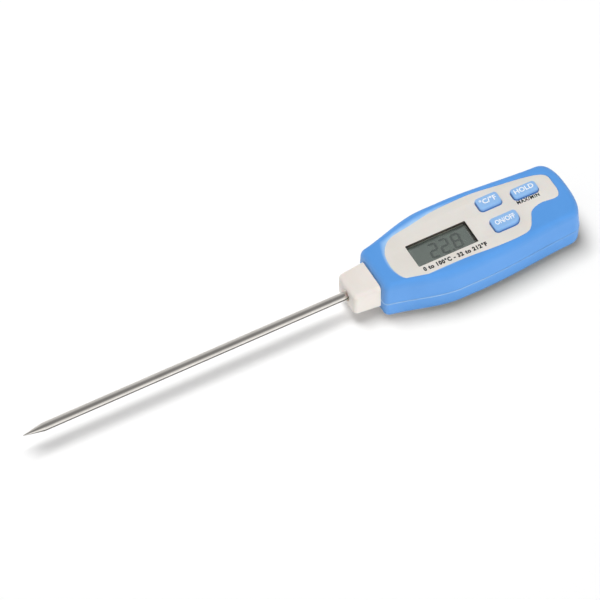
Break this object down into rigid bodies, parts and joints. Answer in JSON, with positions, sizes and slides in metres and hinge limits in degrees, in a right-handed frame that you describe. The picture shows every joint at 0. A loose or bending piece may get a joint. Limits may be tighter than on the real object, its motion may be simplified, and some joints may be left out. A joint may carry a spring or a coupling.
{
  "type": "digital stem thermometer",
  "caption": "Pocket digital thermometer: tapered two-part grip with a display, three rubber keys and a coin-slot battery door, a square collar and a pointed steel stem",
  "frame": {"origin": "middle of the whole length and width, at the flat back it lies on", "axes": "+X from the stem's point to the tail of the grip, +Y to the side with the unit key, +Z out of the face"},
  "size_m": [0.2036, 0.0304, 0.0173],
  "materials": {
    "shell_blue": "moulded blue ABS, satin gloss",
    "face_white": "moulded off-white ABS, satin",
    "frame_white": "natural moulded plastic",
    "stem_steel": "ground stainless steel",
    "screw_steel": "nickel-plated steel",
    "potting": "heat-conducting epoxy",
    "bead_glass": "coated thermistor bead",
    "lead_insulation": "insulated wire",
    "clear_window": "clear acrylic",
    "black_tape": "double-sided adhesive ring",
    "display_glass": "grey-green liquid crystal cell with its polarisers",
    "strip_rubber": "layered conductive elastomer",
    "board_green": "solder-masked glass fibre laminate",
    "black_resin": "black epoxy",
    "can_metal": "nickel-plated can",
    "chip_ceramic": "sintered ceramic",
    "key_rubber": "translucent pale blue silicone",
    "pill_rubber": "carbon-filled silicone",
    "contact_metal": "plated phosphor bronze sheet",
    "seal_rubber": "nitrile ring"
  },
  "bodies": {
    "housing": {"front_cover": "shell_blue", "rear_cover": "shell_blue", "face_panel": "face_white", "probe_collar": "face_white", "probe_tube": "stem_steel", "tip_potting": "potting", "thermistor_bead": "bead_glass", "thermistor_leads": "lead_insulation", "display_window": "clear_window", "window_tape": "black_tape", "display_glass": "display_glass", "display_frame": "frame_white", "contact_strips": "strip_rubber", "circuit_board": "board_green", "controller_blob": "black_resin", "quartz_crystal": "can_metal", "board_capacitors": "chip_ceramic", "board_resistors": "black_resin", "keypad_mat": "key_rubber", "unit_key_skirt": "key_rubber", "hold_key_skirt": "key_rubber", "power_key_skirt": "key_rubber", "button_cell": "can_metal", "cell_contact_positive": "contact_metal", "cell_contact_negative": "contact_metal", "housing_screws": "screw_steel", "board_screws": "screw_steel"},
    "unit_button": {"unit_key": "key_rubber", "unit_key_pill": "pill_rubber"},
    "hold_button": {"hold_key": "key_rubber", "hold_key_pill": "pill_rubber"},
    "power_button": {"power_key": "key_rubber", "power_key_pill": "pill_rubber"},
    "battery_door": {"battery_cap": "shell_blue", "battery_cap_seal": "seal_rubber"}
  },
  "joints": [
    {"name": "unit_press", "type": "slide", "parent": "housing", "child": "unit_button", "axis": [0, 0, -1], "range_m": [0, 0.0006], "stiffness_N_per_m": 1500, "deforming": ["unit_key_skirt"]},
    {"name": "hold_press", "type": "slide", "parent": "housing", "child": "hold_button", "axis": [0, 0, -1], "range_m": [0, 0.0006], "stiffness_N_per_m": 1500, "deforming": ["hold_key_skirt"]},
    {"name": "power_press", "type": "slide", "parent": "housing", "child": "power_button", "axis": [0, 0, -1], "range_m": [0, 0.0006], "stiffness_N_per_m": 1500, "deforming": ["power_key_skirt"]},
    {"name": "door_turn", "type": "hinge", "parent": "housing", "child": "battery_door", "pos_m": [0.07874, 0, 0.0009], "axis": [0, 0, 1], "range_deg": [0, 60]}
  ]
}
